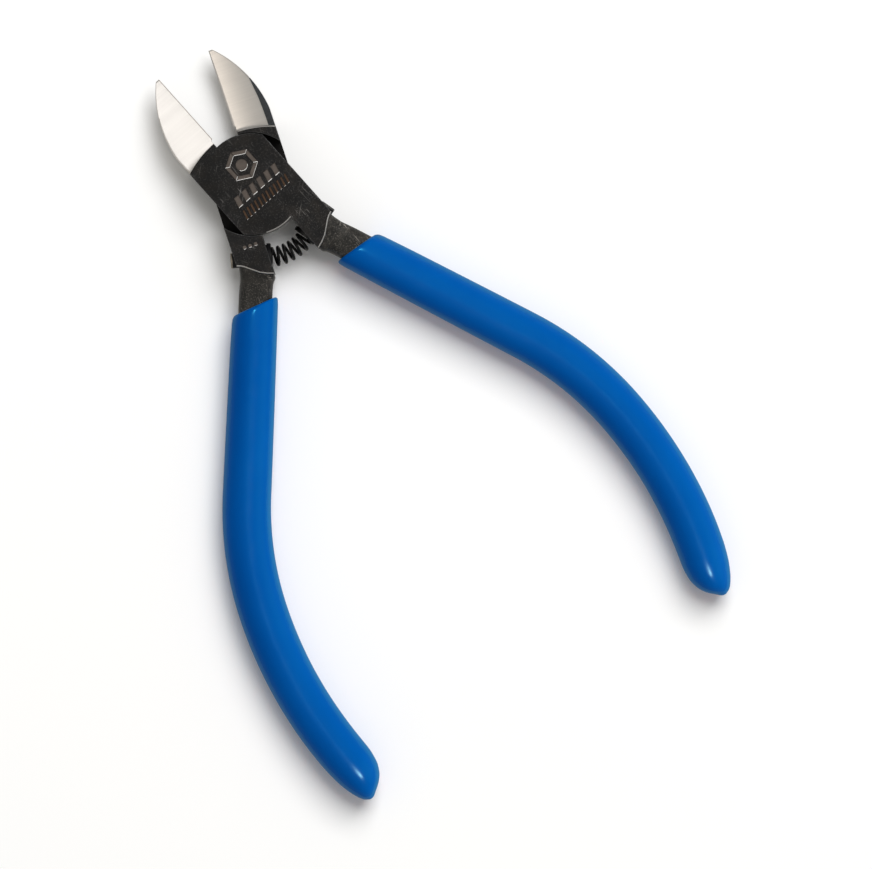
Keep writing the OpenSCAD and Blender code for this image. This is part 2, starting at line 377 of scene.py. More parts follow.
def solid(name, points, faces, materials, slots):
    """A closed mesh object, in millimetres, with doubles merged and normals outwards."""
    mesh = bpy.data.meshes.new(name)
    mesh.from_pydata([tuple(p) for p in points], [], faces)
    for entry in materials:
        mesh.materials.append(entry)
    mesh.polygons.foreach_set("material_index", slots)
    made = bpy.data.objects.new(name, mesh)
    scene.collection.objects.link(made)
    edit = bmesh.new()
    edit.from_mesh(mesh)
    bmesh.ops.remove_doubles(edit, verts=edit.verts, dist=1e-4)
    bmesh.ops.dissolve_degenerate(edit, edges=edit.edges, dist=1e-4)
    bmesh.ops.recalc_face_normals(edit, faces=edit.faces)
    edit.to_mesh(mesh)
    edit.free()
    return made


def loft(name, rings, materials, slot_of=None, end_slots=(0, 0)):
    """A solid through rings of points. slot_of(i, k) is the slot of the face after ring i and point k."""
    count = len(rings[0])
    points = [p for ring in rings for p in ring]
    faces, slots = [], []
    for i in range(len(rings) - 1):
        for k in range(count):
            n = (k + 1) % count
            faces.append((i * count + k, i * count + n, (i + 1) * count + n, (i + 1) * count + k))
            slots.append(slot_of(i, k) if slot_of else 0)
    last = (len(rings) - 1) * count
    faces.append(tuple(range(count)))
    faces.append(tuple(range(last, last + count)))
    slots += end_slots
    return solid(name, points, faces, materials, slots)


def lathe(name, profile, materials, slots=None, count=96):
    """A solid of revolution about Z through (radius, height) points."""
    angles = [2 * math.pi * k / count for k in range(count)]
    rings = [[(r * math.cos(a), r * math.sin(a), z) for a in angles] for r, z in profile]
    pick = (lambda i, k: slots[i]) if slots else None
    ends = (slots[0], slots[-1]) if slots else (0, 0)
    return loft(name, rings, materials, pick, ends)


def arc(centre, r, start, end, step=2.5):
    """Points on a circle, with angles in degrees."""
    count = max(2, round(abs(end - start) / step))
    angles = [math.radians(start + (end - start) * k / count) for k in range(count + 1)]
    return [(centre[0] + r * math.cos(a), centre[1] + r * math.sin(a)) for a in angles]


def inset(outline, distances):
    """An anticlockwise outline with the edge after each point moved inwards by its own distance."""
    moved = []
    for i, here in enumerate(outline):
        before = Vector(outline[i - 1])
        after = Vector(outline[(i + 1) % len(outline)])
        here = Vector(here)
        d0 = (here - before).normalized()
        d1 = (after - here).normalized()
        n0 = Vector((-d0.y, d0.x))
        n1 = Vector((-d1.y, d1.x))
        a, b = distances[i - 1], distances[i]
        turn = d0.x * d1.y - d0.y * d1.x
        if abs(turn) < 0.08:
            moved.append(here + (n0 + n1).normalized() * (a + b) / 2)
        else:
            moved.append(here + (d1 * a - d0 * b) / turn)
    return moved


def rounded_prism(name, outline, kinds, z_low, z_high, low, high, wall_slots, steps=3):
    """A flat solid over an outline. kinds names the edge after each point, low and high give each kind's
    rim radius and slot on that side, and wall_slots its slot between them."""
    rings, ring_slots = [], []
    for side, z_side, up in ((low, z_low, 1), (high, z_high, -1)):
        radii = [side[kind][0] for kind in kinds]
        at_point = [(radii[i - 1] + radii[i]) / 2 for i in range(len(radii))]
        slots = [side[kind][1] for kind in kinds]
        for k in range(steps + 1):
            a = math.pi / 2 * (k / steps if up == 1 else 1 - k / steps)
            flat = inset(outline, [r * (1 - math.sin(a)) for r in radii])
            heights = [z_side + up * r * (1 - math.cos(a)) for r in at_point]
            rings.append([(p[0], p[1], z) for p, z in zip(flat, heights)])
            ring_slots.append(slots)
    ring_slots[steps] = [wall_slots[kind] for kind in kinds]
    return loft(name, rings, LEVER_SLOTS, lambda i, k: ring_slots[i][k], (S_OXIDE, S_OXIDE))


def boolean(target, tools, operation):
    """Joins the tools to the target, or cuts them out of it."""
    for tool in tools:
        modifier = target.modifiers.new("tool", "BOOLEAN")
        modifier.operation = operation
        modifier.solver = "EXACT"
        modifier.material_mode = "TRANSFER"
        modifier.object = tool
        flatten(target)
        mesh = tool.data
        bpy.data.objects.remove(tool)
        bpy.data.meshes.remove(mesh)


def flatten(target):
    """Applies the modifiers."""
    graph = bpy.context.evaluated_depsgraph_get()
    mesh = bpy.data.meshes.new_from_object(target.evaluated_get(graph))
    target.modifiers.clear()
    target.data = mesh


def finish_mesh(target, where, angle=38, weighted=True):
    """Smooth shading with sharp corners, then metres and the piece's place in the tool."""
    mesh = target.data
    edit = bmesh.new()
    edit.from_mesh(mesh)
    bmesh.ops.dissolve_degenerate(edit, edges=edit.edges, dist=2e-4)
    edit.to_mesh(mesh)
    edit.free()
    mesh.polygons.foreach_set("use_smooth", [True] * len(mesh.polygons))
    mesh.set_sharp_from_angle(angle=math.radians(angle))
    mesh.transform(Matrix.Scale(MM, 4))
    places = np.zeros(3 * len(mesh.vertices), np.float32)
    mesh.vertices.foreach_get("co", places)
    mesh.attributes.new(PLACE, "FLOAT_VECTOR", "POINT").data.foreach_set("vector", places)
    mesh.transform(where)
    if weighted:
        modifier = target.modifiers.new("normals", "WEIGHTED_NORMAL")
        modifier.keep_sharp = True
        modifier.weight = 80
        flatten(target)


def spaced(start, end, count):
    return [start + (end - start) * k / (count - 1) for k in range(count)]


def superellipse(half_w, half_t, power, count=64):
    """Section points (across, up)."""
    section = []
    for k in range(count):
        a = 2 * math.pi * (k + 0.5) / count
        c, s = math.cos(a), math.sin(a)
        section.append((half_w * math.copysign(abs(c) ** (2 / power), c),
                        half_t * math.copysign(abs(s) ** (2 / power), s)))
    return section


def smooth_table(table, at):
    """Values of a table's columns at a place, on a smooth curve through its rows."""
    rows = np.array(table, float)
    x = rows[:, 0]
    i = int(np.clip(np.searchsorted(x, at) - 1, 0, len(x) - 2))
    slopes = np.gradient(rows[:, 1:], x, axis=0)
    h = x[i + 1] - x[i]
    t = min(max((at - x[i]) / h, 0.0), 1.0)
    p0, p1, m0, m1 = rows[i, 1:], rows[i + 1, 1:], slopes[i] * h, slopes[i + 1] * h
    found = ((2 * t**3 - 3 * t**2 + 1) * p0 + (t**3 - 2 * t**2 + t) * m0
             + (3 * t**2 - 2 * t**3) * p1 + (t**3 - t**2) * m1)
    return [float(value) for value in found]


# ---------------------------------------------------------------- lever

BEND_START = Vector((NECK_START[0] + STRAIGHT * math.sin(LEAN), NECK_START[1] - STRAIGHT * math.cos(LEAN)))
BEND_AXIS = BEND_START - BEND_R * Vector((math.cos(LEAN), math.sin(LEAN)))
PALM_AXIS = BEND_AXIS + Vector((BEND_R - PALM_R, 0))


def handle_frame(s):
    """Point on the handle's centre line at a distance s from its start, the way on, and outwards."""
    s = float(s)
    bend = BEND_R * LEAN
    if s < STRAIGHT:
        turn = LEAN
        start = Vector(NECK_START)
        point = start + s * Vector((math.sin(LEAN), -math.cos(LEAN)))
    elif s < STRAIGHT + bend:
        turn = LEAN - (s - STRAIGHT) / BEND_R
        point = BEND_AXIS + BEND_R * Vector((math.cos(turn), math.sin(turn)))
    else:
        turn = -min((s - STRAIGHT - bend) / PALM_R, PALM_ANGLE)
        over = max(0.0, s - STRAIGHT - bend - PALM_R * PALM_ANGLE)
        point = PALM_AXIS + PALM_R * Vector((math.cos(turn), math.sin(turn)))
        point = point + over * Vector((math.sin(turn), -math.cos(turn)))
    return point, Vector((math.sin(turn), -math.cos(turn))), Vector((math.cos(turn), math.sin(turn)))


def handle_ring(s, section, shear=0.0, shift=0.0):
    """A section standing across the handle at s, slanted by shear and moved outwards by shift."""
    point, onwards, outwards = handle_frame(s)
    ring = []
    for u, z in section:
        p = point + (u + shift) * outwards + shear * (u + shift) * onwards
        ring.append((p.x, p.y, MID_Z + z))
    return ring


def head_outline():
    """Outline of a lever's head, anticlockwise, and the kind of the edge after each point."""
    heel = math.degrees(math.acos(-RELIEF_X / LAP_R))
    side = math.degrees(math.acos(HALF_W / LAP_R))
    arm_side = 180 + math.degrees(math.acos(HALF_W / LAP_R_ARM))
    flank = 270 + math.degrees(math.asin(FLANK_X / LAP_R_ARM))
    grind0 = math.degrees(math.acos((-RELIEF_X - GRIND_ARC[0]) / GRIND_R))
    grind1 = math.degrees(math.acos((-HALF_W - GRIND_ARC[0]) / GRIND_R))
    pieces = [
        ("side", [(HALF_W, SIDE_FOOT_Y), (HALF_W, -6.0)]),
        ("lap", arc((0, 0), LAP_R, side, heel)),
        ("grind", arc(GRIND_ARC, GRIND_R, grind0, grind1, 1.0)),
        ("side", [(-HALF_W, 2.0)]),
        ("lap", arc((0, 0), LAP_R_ARM, arm_side, WORN_FROM)[:-1]),
        ("worn", arc((0, 0), LAP_R_ARM, WORN_FROM, flank)),
        ("flank", [(FLANK_X, -11.0)]),
        ("end", ARM_END),
    ]
    outline, kinds = [], []
    for kind, points in pieces:
        outline += points
        kinds += [kind] * len(points)
    # the edge that leaves the last point of an arc is a straight wall
    for i in range(len(kinds)):
        if kinds[i] == "lap" and kinds[(i + 1) % len(kinds)] not in ("lap", "worn"):
            kinds[i] = "side"
        if kinds[i] == "worn" and kinds[i + 1] != "worn":
            kinds[i] = "flank"
        if kinds[i] == "grind" and kinds[(i + 1) % len(kinds)] != "grind":
            kinds[i] = "side"
    return outline, kinds


def grind_y(x):
    """Height of the end of the ground face at a distance x from the middle."""
    return GRIND_ARC[1] + math.sqrt(GRIND_R**2 - (-x - GRIND_ARC[0]) ** 2)


def blade_face(x, facet_x):
    """Height of the blade's face above its middle plane."""
    if x <= BEVEL_X:
        return max(0.0, x - EDGE_X) * math.tan(BEVEL_SLOPE)
    start = (BEVEL_X - EDGE_X) * math.tan(BEVEL_SLOPE)
    first = HOLLOW_SLOPE[0]
    rate = (HOLLOW_SLOPE[1] - first) / (HOLLOW_X - BEVEL_X)
    def hollow(d):
        return (math.log(math.cos(first)) - math.log(math.cos(first + rate * d))) / rate
    if x <= facet_x:
        return start + hollow(x - BEVEL_X)
    return start + hollow(facet_x - BEVEL_X) + (x - facet_x) * math.tan(FACET_SLOPE)


def blade_side(row, base, edge, outer, shrink, facet, fillet_r):
    """Points (x, y, height) across one side of the blade, from the cutting edge to the outer edge."""
    past = max(0.0, (BLEND_Y - row) / (BLEND_Y - base))
    columns = [edge, max(edge + 0.05, BEVEL_X)]
    columns += [columns[1] + (facet - columns[1]) * k / FACE_COLUMNS for k in range(1, FACE_COLUMNS + 1)]
    last = outer - RIM_DROP[1]
    columns += [facet + (last - facet) * k / FACET_COLUMNS for k in range(1, FACET_COLUMNS + 1)]
    columns = [(x, 0.0) for x in columns] + [(outer - RIM_DROP[0], RIM_DROP[0]), (outer, RIM_DROP[1])]
    d = max(0.0, row - base)
    fillet = fillet_r - math.sqrt(max(0.0, fillet_r**2 - (fillet_r - d) ** 2)) if d < fillet_r else 0.0
    side = []
    for x, drop in columns:
        y = row + (grind_y(x) - base) * min(past, 1.0)
        height = min(blade_face(x, facet) + fillet, MID_Z - 0.06) - drop
        side.append((-x, y, max(0.0, height - shrink)))
    return side


def blade_solid():
    """The ground blade: a hollow face and a micro bevel each side, and a steep facet on the lap's side."""
    base = grind_y(-GRIND_ARC[0])
    rows = [base + d for d in FILLET_ROWS]
    rows += [RELIEF_Y - 0.3, RELIEF_Y - 0.02, RELIEF_Y + 0.12]
    rows += spaced(RELIEF_Y + 0.4, TIP_Y - 0.25, BLADE_ROWS) + [TIP_Y - 0.1, TIP_Y - 0.02, TIP_Y]
    rings, faceted = [], []
    for row in rows:
        embed = EMBED if row < base - 0.01 else 0.0
        curve = math.sqrt(BLADE_R**2 - (row - BLADE_ARC[1]) ** 2) - BLADE_ARC[0]
        outer = curve if row > BLADE_ARC[1] else HALF_W
        shrink = TIP_ROUND.get(row, 0.0)
        outer = min(outer, HALF_W) - embed - shrink
        edge = RELIEF_X + embed if row < RELIEF_Y else EDGE_X
        facet = min(np.interp(row, FACET_ROWS, FACET_EDGE), outer - 0.12)
        faceted.append(facet < outer - 0.2)
        top = blade_side(row, base, edge, outer, shrink, outer - 0.12, FILLET[0])
        bottom = blade_side(row, base, edge, outer, shrink, facet, FILLET[1])
        ring = [(x, y, MID_Z + z) for x, y, z in top]
        rings.append(ring + [(x, y, MID_Z - z) for x, y, z in reversed(bottom)])
    last = len(rings[0]) - 2 - FACE_COLUMNS
    facet_faces = set(range(last - FACET_COLUMNS - 2, last))
    def slot_of(i, k):
        if k == 0:
            return S_BEVEL
        # the steep facet gets the dark steel, a painted reflection of shaded floor
        return S_STRIP if k in facet_faces and faceted[i] else S_GROUND
    return loft("blade", rings, LEVER_SLOTS, slot_of, (S_GROUND, S_GROUND))


NECK_TABLE = [  # distance along, inner and outer side, half thickness, power of the section
    (0.85, -2.2, 3.1, 3.75, 6.0), (2.15, -2.76, 2.83, 3.72, 5.0), (3.09, -3.1, 2.71, 3.5, 4.2),
    (3.75, -2.88, 2.66, 3.34, 3.6), (4.8, -2.77, 2.7, 3.24, 3.3), (6.2, -2.75, 2.75, 3.2, 3.3),
]


def neck_solid():
    """The neck below the arm, and the tang inside the grip."""
    first, last = NECK_TABLE[0][0], NECK_TABLE[-1][0]
    stations = spaced(first, last, 22) + spaced(7.0, STRAIGHT, 12)
    stations += spaced(STRAIGHT + 1.5, TANG_END, 34)
    rings = []
    for s in stations:
        inner, outer, half_t, power = smooth_table(NECK_TABLE, min(s, last))
        section = superellipse((outer - inner) / 2, half_t, power)
        rings.append(handle_ring(s, section, shift=(inner + outer) / 2))
    return loft("neck", rings, LEVER_SLOTS, lambda i, k: S_NECK, (S_NECK, S_NECK))


def at_seat():
    """Place of a spring seat: on the flank, with its axis into the arm."""
    return (Matrix.Translation((FLANK_X, SEAT_Y, MID_Z)) @ Matrix.Rotation(SEAT_TILT, 4, "Z")
            @ Matrix.Rotation(math.pi / 2, 4, "Y"))


def seat_bore():
    """The stepped hole that a spring seat sits in, right through the arm."""
    flange, body, tail = FLANGE_R + BORE_SPARE, SEAT_R + BORE_SPARE, TAIL_R + BORE_SPARE
    flange_end, body_end = FLANGE_T + BORE_SPARE, SEAT_STEP + BORE_SPARE
    profile = [(0, -3), (flange, -3), (flange, flange_end), (body, flange_end), (body, body_end),
               (tail, body_end), (tail, 9), (0, 9)]
    bore = lathe("bore", profile, LEVER_SLOTS, [S_LAP] * len(profile), 64)
    bore.data.transform(at_seat())
    return bore


def mark_tool(outline, z_face, depth, floor_slot, draft):
    """Cuts a pocket with sloping walls into a face. The walls on the handles' side are bright: pale, nearly
    matt steel that is a painted highlight.
    """
    up = 1 if z_face > MID_Z else -1
    wall = []
    for i in range(len(outline)):
        a, b = Vector(outline[i]), Vector(outline[(i + 1) % len(outline)])
        outwards = Vector(((b - a).y, -(b - a).x)).normalized()
        # walls facing the handles get the pale steel, a painted highlight
        wall.append(S_PAINTED_LIT if outwards.y < -0.6 else floor_slot)
    rings = []
    for share, z in ((-1.0, z_face + 0.1 * up), (0.0, z_face), (draft, z_face - depth * up)):
        distance = draft * -0.9 if share < 0 else share
        rings.append([(p[0], p[1], z) for p in inset(outline, [distance] * len(outline))])
    return loft("mark", rings, LEVER_SLOTS, lambda i, k: wall[k], (floor_slot, floor_slot))


def regular(centre, r, count, turn=0.0):
    angles = [turn + 2 * math.pi * k / count for k in range(count)]
    return [(centre[0] + r * math.cos(a), centre[1] + r * math.sin(a)) for a in angles]


def slanted_bar(x, y, width, height, lean=0.25):
    half_w, half_h = width / 2, height / 2
    skew = lean * half_h
    return [(x - half_w - skew, y - half_h), (x + half_w - skew, y - half_h),
            (x + half_w + skew, y + half_h), (x - half_w + skew, y + half_h)]


def bar_row(count, first_x, step, y, width, height):
    return [slanted_bar(first_x + step * k, y, width, height) for k in range(count)]


def plate_marks():
    """Plain marks on the plate: a hexagon ring round a dot, a row of bars and a row of thin ticks."""
    inner, outer = (regular(HEXAGON, r, 6, math.pi / 6) for r in HEXAGON_R)
    ring = [list(side) for side in zip(inner, outer, outer[1:] + outer[:1], inner[1:] + inner[:1])]
    dot = regular(HEXAGON, HEXAGON_DOT_R, 24)
    bars = bar_row(count=6, first_x=-3.6, step=1.6, y=-0.85, width=0.95, height=1.75)
    ticks = bar_row(count=12, first_x=-4.2, step=0.82, y=-3.25, width=0.36, height=1.6)
    tools = [mark_tool(outline, HEAD_T, MARK_DEPTH, S_MARK, 0.08) for outline in ring + [dot]]
    tools += [mark_tool(outline, HEAD_T, MARK_DEPTH, S_MARK, 0.1) for outline in bars]
    return tools + [mark_tool(outline, HEAD_T, MARK_DEPTH, S_BROWN, 0.06) for outline in ticks]


def arm_marks():
    """Three dots on the lower lever's arm, on the face that looks up once the lever is turned over."""
    dots = [regular((2.5 + 0.95 * k, -9.7), 0.32, 16) for k in range(3)]
    return [mark_tool(outline, 0.0, DOT_DEPTH, S_MARK, 0.05) for outline in dots]


def rivet_hole(upper):
    """The rivet's hole: blind in the upper lever, countersunk in the back of the lower one."""
    r = SHANK_R + SHANK_GAP[0 if upper else 1]
    if upper:
        profile = [(0, -1), (r, -1), (r, SHANK_TOP), (0, SHANK_TOP)]
    else:
        head_r = r + RIVET_HEAD_T
        profile = [(0, LAP_Z - 1), (r, LAP_Z - 1), (r, HEAD_T - RIVET_HEAD_T), (head_r, HEAD_T),
                   (head_r, HEAD_T + 1), (0, HEAD_T + 1)]
    return lathe("hole", profile, LEVER_SLOTS, [S_LAP] * len(profile))


def lap_cutter():
    """The half of the head that the other lever's plate takes up, with a rounded rim at the back face."""
    r = EDGE_ROUND
    profile = [(None, -1), (r, -1)]      # distance past the wall, or None on the axis, and height
    for k in range(4):
        a = math.pi / 2 * k / 3
        profile.append((r - r * math.sin(a), r - r * math.cos(a)))
    profile += [(0, LAP_Z), (None, LAP_Z)]
    count = 128
    rings = []
    for past, z in profile:
        ring = []
        for k in range(count):
            a = 2 * math.pi * (k + 0.5) / count
            wall = (LAP_R_ARM if a > math.pi else LAP_R) + SHOULDER_GAP
            reach = 0.0 if past is None else wall + past
            ring.append((reach * math.cos(a), reach * math.sin(a), z))
        rings.append(ring)
    slots = [S_LAP, S_LAP, S_EDGE, S_EDGE, S_EDGE, S_LAP, S_LAP]
    return loft("lap", rings, LEVER_SLOTS, lambda i, k: slots[i], (S_LAP, S_LAP))


def make_lever(name, upper, where):
    """One forging: the head with its blade, neck and tang, and everything that is cut into it."""
    outline, kinds = head_outline()
    low = {kind: (EDGE_ROUND, S_EDGE) for kind in ("side", "lap", "flank", "worn")}
    low.update(grind=(WORN_GRIND_ROUND, S_WORN), end=(WORN_ROUND, S_WORN))
    high = dict(low, grind=(GRIND_ROUND, S_OXIDE), worn=(WORN_LAP_ROUND, S_WORN))
    walls = {kind: S_OXIDE for kind in ("side", "lap", "flank", "worn")}
    walls.update(grind=S_GROUND, end=S_NECK)
    lever = rounded_prism(name, outline, kinds, 0.0, HEAD_T, low, high, walls)
    boolean(lever, [lap_cutter()], "DIFFERENCE")
    boolean(lever, [blade_solid(), neck_solid()], "UNION")
    cuts = [seat_bore(), rivet_hole(upper)]
    boolean(lever, cuts + (plate_marks() if upper else arm_marks()), "DIFFERENCE")
    finish_mesh(lever, where)
    return lever


# ---------------------------------------------------------------- grip

GRIP_TABLE = [  # distance along, half width
    (7.0, 3.7), (9.5, 3.74), (14.0, 3.81), (25.0, 3.92), (40.0, 4.01), (55.0, 4.03), (70.0, 4.0),
    (83.0, 3.96), (86.0, 3.92),
]
NOSE_START = 89.04
NOSE_LENGTH = 5.03
NOSE_LEAD = 3.04
NOSE_HALF_W = 3.92
NOSE_TABLE = [  # distance past the start, inner and outer side
    (-NOSE_LEAD, -NOSE_HALF_W, NOSE_HALF_W), (-1.0, -3.8, 3.8), (0.0, -3.62, 3.72), (0.5, -3.5, 3.65),
    (1.45, -3.19, 3.49), (2.2, -2.77, 3.35), (2.9, -2.28, 3.15), (3.4, -1.78, 2.99), (3.81, -1.25, 2.82),
    (4.2, -0.6, 2.6), (4.5, 0.0, 2.35), (4.75, 0.5, 2.06), (4.95, 0.88, 1.78), (NOSE_LENGTH, 1.15, 1.5),
]
RIM_TABLE = [  # share of the way from the mouth to the outside, and depth past the rim
    (0.0, 0.22), (0.08, 0.07), (0.2, 0.0), (0.38, 0.01), (0.54, 0.06), (0.69, 0.15), (0.82, 0.28),
    (0.91, 0.44), (0.97, 0.66), (1.0, 0.95),
]


def grip_section(half_w, half_t, power, roof=1.0):
    """Section of the grip: a soft box whose top and bottom rise to a faint ridge."""
    section = []
    for u, z in superellipse(half_w, half_t, power, GRIP_POINTS):
        fall = ROOF_SLOPE * roof * (math.hypot(u, ROOF_SOFT) - ROOF_SOFT)
        section.append((u, math.copysign(max(abs(z) - fall * min(1.0, abs(z) / 2), 0.0), z)))
    return section


def between(a, b, share):
    """The section at a share of the way from section a to section b."""
    return [(p[0] + (q[0] - p[0]) * share, p[1] + (q[1] - p[1]) * share) for p, q in zip(a, b)]


def make_grip(name, where):
    """A closed sleeve: up inside along the tang, over the rim, and down the outside to the nose."""
    bore = superellipse(TANG_HALF[0] + BORE_GAP, TANG_HALF[1] + BORE_GAP, TANG_POWER, GRIP_POINTS)
    mouth = superellipse(TANG_HALF[0] + MOUTH_GAP, TANG_HALF[1] + MOUTH_GAP, TANG_POWER, GRIP_POINTS)
    rings = []
    for s in spaced(TANG_END + 0.2, RIM_AT + 3.5, 50):
        rings.append(handle_ring(s, bore))
    for s, share in ((RIM_AT + 2.6, 0.5), (RIM_AT + 1.6, 0.9), (RIM_AT + 0.6, 1.0)):
        rings.append(handle_ring(s, mouth if share == 1.0 else bore, RIM_SHEAR * share))
    outside = grip_section(GRIP_TABLE[0][1], GRIP_HALF_T - RIM_THINNER, GRIP_POWER)
    for share, depth in RIM_TABLE:
        rings.append(handle_ring(RIM_AT + depth, between(mouth, outside, share), RIM_SHEAR))
    stations = spaced(RIM_AT + 1.3, RIM_AT + SHEAR_RUN, 16)
    stations += spaced(RIM_AT + SHEAR_RUN + 1, NOSE_START - 3.2, 66)
    for s in stations:
        half_w = smooth_table(GRIP_TABLE, s)[0]
        fade = min(1.0, (s - RIM_AT) / SHEAR_RUN)
        shear = RIM_SHEAR * (1 - fade * fade * (3 - 2 * fade))
        half_t = GRIP_HALF_T - RIM_THINNER * max(0.0, 1 - (s - RIM_AT) / RIM_TAPER)
        rings.append(handle_ring(s, grip_section(half_w, half_t, GRIP_POWER), shear))
    nose_rings = 28
    for k in range(1, nose_rings + 1):
        s = -NOSE_LEAD + (NOSE_LENGTH + NOSE_LEAD) * math.sin(math.pi / 2 * k / nose_rings)
        inner, outer = smooth_table(NOSE_TABLE, s)
        half_w = (outer - inner) / 2
        full = half_w / NOSE_HALF_W
        power = NOSE_POWER + (GRIP_POWER - NOSE_POWER) * full**2
        section = grip_section(half_w, GRIP_HALF_T * full**0.72, power, full**2)
        rings.append(handle_ring(NOSE_START + s, section, shift=(inner + outer) / 2))
    grip = loft(name, rings, [GRIP])
    finish_mesh(grip, where, 60, weighted=False)
    return grip


# ---------------------------------------------------------------- spring, seats and rivet

# The centre line is an arc between the seats' mouths, square to both, then straight on into the cups.
MOUTH_ANGLE = math.atan(FLANK_X / -SEAT_Y) + OPEN_ANGLE
MOUTH = math.hypot(FLANK_X, SEAT_Y) * Vector((math.sin(MOUTH_ANGLE), -math.cos(MOUTH_ANGLE)))
END_TILT = SEAT_TILT + OPEN_ANGLE
SPRING_R = MOUTH.x / math.sin(END_TILT)
SPRING_Y = MOUTH.y + SPRING_R * math.cos(END_TILT)
ARC_LENGTH = 2 * SPRING_R * END_TILT
END_LENGTH = CUP_DEPTH - 0.2
COIL_LENGTH = ARC_LENGTH + 2 * END_LENGTH
COIL_R = (SPRING_D - WIRE_D) / 2


def spring_axis(s):
    """Point on the spring's centre line, s from its middle, and the direction out from the pivot."""
    a = max(-END_TILT, min(END_TILT, s / SPRING_R))
    over = math.copysign(max(0.0, abs(s) - ARC_LENGTH / 2), s)
    outwards = Vector((math.sin(a), -math.cos(a), 0))
    point = SPRING_R * outwards + over * Vector((math.cos(a), math.sin(a), 0))
    return point + Vector((0, SPRING_Y, MID_Z)), outwards


def make_spring(name):
    """Round wire wound about the centre line, from the bottom of one cup to the bottom of the other."""
    steps = round(COIL_LENGTH / PITCH * PITCH_STEPS)
    phase = math.radians(SPRING_PHASE)
    centres, outs = [], []
    for i in range(steps + 1):
        turn = i / PITCH_STEPS
        s = -COIL_LENGTH / 2 + turn * PITCH
        point, across = spring_axis(s)
        a = 2 * math.pi * turn + phase
        out = math.cos(a) * across + math.sin(a) * Vector((0, 0, 1))
        centres.append(point + COIL_R * out)
        outs.append(out)
    angles = [2 * math.pi * k / WIRE_SIDES for k in range(WIRE_SIDES)]
    rings = []
    for i, centre in enumerate(centres):
        along = (centres[min(i + 1, steps)] - centres[max(i - 1, 0)]).normalized()
        side = along.cross(outs[i]).normalized()
        out = side.cross(along)
        rings.append([centre + WIRE_D / 2 * (math.cos(a) * out + math.sin(a) * side) for a in angles])
    spring = loft(name, rings, [SPRING_BLACK])
    finish_mesh(spring, Matrix(), 60, weighted=False)
    return spring


def make_seat(name, tail, where, end_material):
    """Turned seat: a flange against the flank, a cup for the spring, and a tail through the arm."""
    tail_end = (HALF_W - FLANK_X) / math.cos(SEAT_TILT) + tail
    cup_r = CUP_D / 2
    profile = [
        (0, CUP_DEPTH), (cup_r - 0.15, CUP_DEPTH), (cup_r, CUP_DEPTH - 0.15), (cup_r, -0.2),
        (cup_r + 0.08, -0.33), (2.02, -FLANGE_T), (2.25, -FLANGE_T), (2.32, -0.31), (FLANGE_R, -0.24),
        (FLANGE_R, FLANGE_T), (SEAT_R, FLANGE_T), (SEAT_R, SEAT_STEP), (TAIL_R, SEAT_STEP),
        (TAIL_R, tail_end - 0.3), (TAIL_R, tail_end - 0.12), (1.2, tail_end - 0.03), (1.1, tail_end),
        (0.75, tail_end), (0.62, tail_end - 0.1), (0, tail_end - 0.18)]
    slots = [0] * 13 + [1] * 7
    seat = lathe(name, profile, [SEAT_BLACK, end_material], slots, 72)
    seat.data.transform(at_seat())
    finish_mesh(seat, where, 50)
    return seat


def make_rivet(name, where):
    """The rivet from the back: a countersunk head with a turned rim and a shallow dished middle."""
    top = SHANK_TOP - 0.02
    rim = 0.12
    profile = [(0, 0.06), (1.5, 0.05), (2.9, 0.02), (3.45, 0.0), (3.6, 0.03), (RIVET_HEAD_R, rim),
               (SHANK_R, rim + RIVET_HEAD_T), (SHANK_R, top - 0.2), (2.3, top), (0, top)]
    slots = [0, 0, 0, 1, 1, 0, 0, 0, 0, 0]
    rivet = lathe(name, profile, [OXIDE, EDGE_OXIDE], slots)
    finish_mesh(rivet, where, 40)
    return rivet


# ---------------------------------------------------------------- pieces on their bodies

def place(piece, body, node):
    """A rigid piece that rides on one body and stands for one CAD node."""
    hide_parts(node)
    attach(piece, body)


levers = [make_lever("lever_upper", True, UPPER), make_lever("lever_lower", False, LOWER)]
grips = [make_grip("grip_right", UPPER), make_grip("grip_left", LOWER)]
seats = [make_seat("seat_right", 0.4, UPPER, TAIL_DARK), make_seat("seat_left", 0.7, LOWER, TAIL_END)]
rivet = make_rivet("rivet", UPPER)
place(levers[0], "upper_half", "upper_lever")
place(levers[1], "lower_half", "lower_lever")
place(grips[0], "upper_half", "right_grip")
place(grips[1], "lower_half", "left_grip")
place(seats[0], "upper_half", "right_spring_seat")
place(seats[1], "lower_half", "left_spring_seat")
place(rivet, "upper_half", "pivot_rivet")

spring = make_spring("spring")
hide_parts("return_spring")
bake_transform(spring)
steel = levers + seats + [rivet, spring]


# ---------------------------------------------------------------- floor, light and camera

FLOOR_HALF = 2.0
VIEW_CENTRE = (0.00558, -0.05092, 0.005)
CAMERA_HEIGHT = 1.6
SENSOR_WIDTH = 36
FRAME_WIDTH = 0.143496         # metres across the picture at VIEW_CENTRE
CAMERA_TURN = math.radians(-30)
WORLD_TONE = (1.0, 0.98, 0.93, 1.0)
WORLD_STRENGTH = 0.4


def make_floor():
    """A plain white floor at the lowest point of the part."""
    z = cad_low.z
    corners = [(-1, -1), (1, -1), (1, 1), (-1, 1)]
    mesh = bpy.data.meshes.new("floor")
    mesh.from_pydata([(x * FLOOR_HALF, y * FLOOR_HALF, z) for x, y in corners], [], [(0, 1, 2, 3)])
    made, tree, shader, _ = material("floor_white", Roughness=0.7, Specular_IOR_Level=0.2)
    tone = noise(tree, add(tree, "ShaderNodeTexCoord").outputs["Object"], 3, 2)
    tree.links.new(ramp(tree, tone, [(0.3, 0.92), (0.7, 0.935)]), shader.inputs["Base Color"])
    mesh.materials.append(made)
    floor = bpy.data.objects.new("floor", mesh)
    scene.collection.objects.link(floor)
    floor.visible_glossy = False
    return floor


